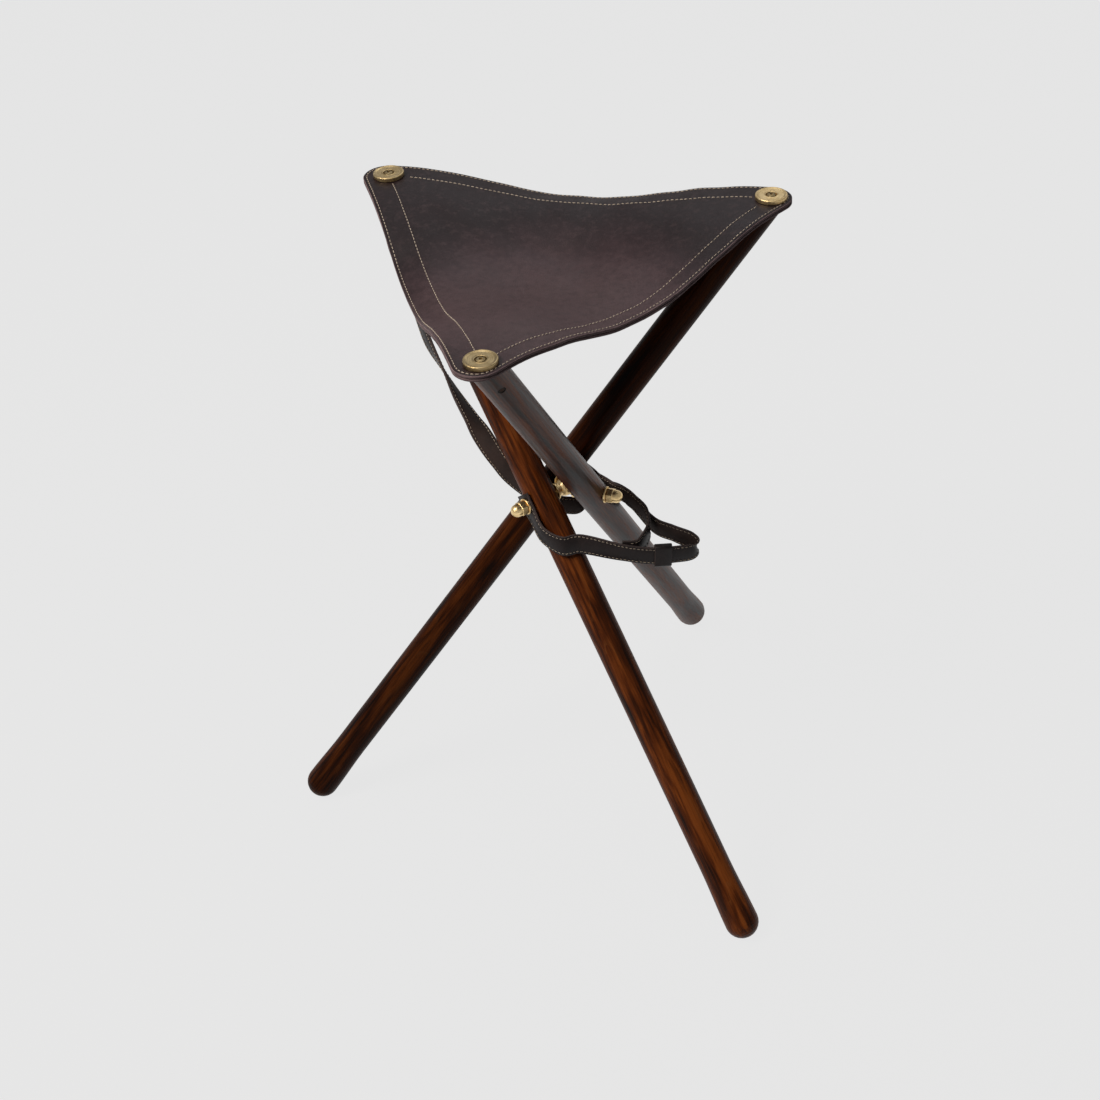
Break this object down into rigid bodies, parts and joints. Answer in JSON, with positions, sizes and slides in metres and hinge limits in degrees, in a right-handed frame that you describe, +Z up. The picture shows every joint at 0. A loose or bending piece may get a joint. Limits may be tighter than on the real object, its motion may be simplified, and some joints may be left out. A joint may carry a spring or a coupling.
{
  "type": "folding tripod stool",
  "caption": "Folding tripod stool: round wooden legs crossed on a brass three-way bolt carry a stitched leather sling seat; a leather strap ties the folded legs.",
  "frame": {"origin": "on the floor, under the middle of the open stool's box", "axes": "+Z up; -Y towards the picture's camera side; +X to the right in the picture"},
  "size_m": [0.5182, 0.512, 0.6396],
  "materials": {
    "stained_wood": "dark stained, satin lacquer",
    "plug_wood": "dark stained end grain",
    "brass": "turned, lightly worn",
    "seat_leather": "dark brown saddle leather, satin",
    "strap_leather": "dark brown strap leather, satin"
  },
  "bodies": {
    "hub": {"three_way_bolt": "brass", "inner_washer_left": "brass", "outer_washer_left": "brass", "cap_nut_left": "brass", "inner_washer_front": "brass", "outer_washer_front": "brass", "cap_nut_front": "brass", "inner_washer_rear": "brass", "outer_washer_rear": "brass", "cap_nut_rear": "brass", "long_strap": "strap_leather", "strap_tab": "strap_leather", "strap_keeper": "strap_leather"},
    "leg_left_body": {"leg_left": "stained_wood", "cross_dowel_left": "plug_wood", "seat_disc_left": "brass", "seat_screw_left": "brass"},
    "leg_front_body": {"leg_front": "stained_wood", "cross_dowel_front": "plug_wood", "seat_disc_front": "brass", "seat_screw_front": "brass"},
    "leg_rear_body": {"leg_rear": "stained_wood", "cross_dowel_rear": "plug_wood", "seat_disc_rear": "brass", "seat_screw_rear": "brass"},
    "seat": {"seat_panel": "seat_leather", "seat_border": "seat_leather"}
  },
  "joints": [
    {"name": "fold_front", "type": "hinge", "parent": "hub", "child": "leg_front_body", "pos_m": [0.03403, 0.0135, 0.37222], "axis": [0.866, 0.5, 0], "range_deg": [0, 37.85], "deforming": ["long_strap"]},
    {"name": "fold_left", "type": "hinge", "parent": "hub", "child": "leg_left_body", "pos_m": [0.03403, 0.0135, 0.37222], "axis": [0, -1, 0], "range_deg": [0, 37.85]},
    {"name": "fold_rear", "type": "hinge", "parent": "hub", "child": "leg_rear_body", "pos_m": [0.03403, 0.0135, 0.37222], "axis": [-0.866, 0.5, 0], "range_deg": [0, 37.85]},
    {"name": "seat_rise", "type": "slide", "parent": "hub", "child": "seat", "axis": [0, 0, 1], "range_m": [0, 0.135], "deforming": ["seat_panel", "seat_border"]}
  ],
  "couplings": [
    {"joint": "fold_left", "follows": "fold_front", "ratio": 1},
    {"joint": "fold_rear", "follows": "fold_front", "ratio": 1},
    {"joint": "seat_rise", "follows": "fold_front", "m_per_rad": 0.2043}
  ]
}
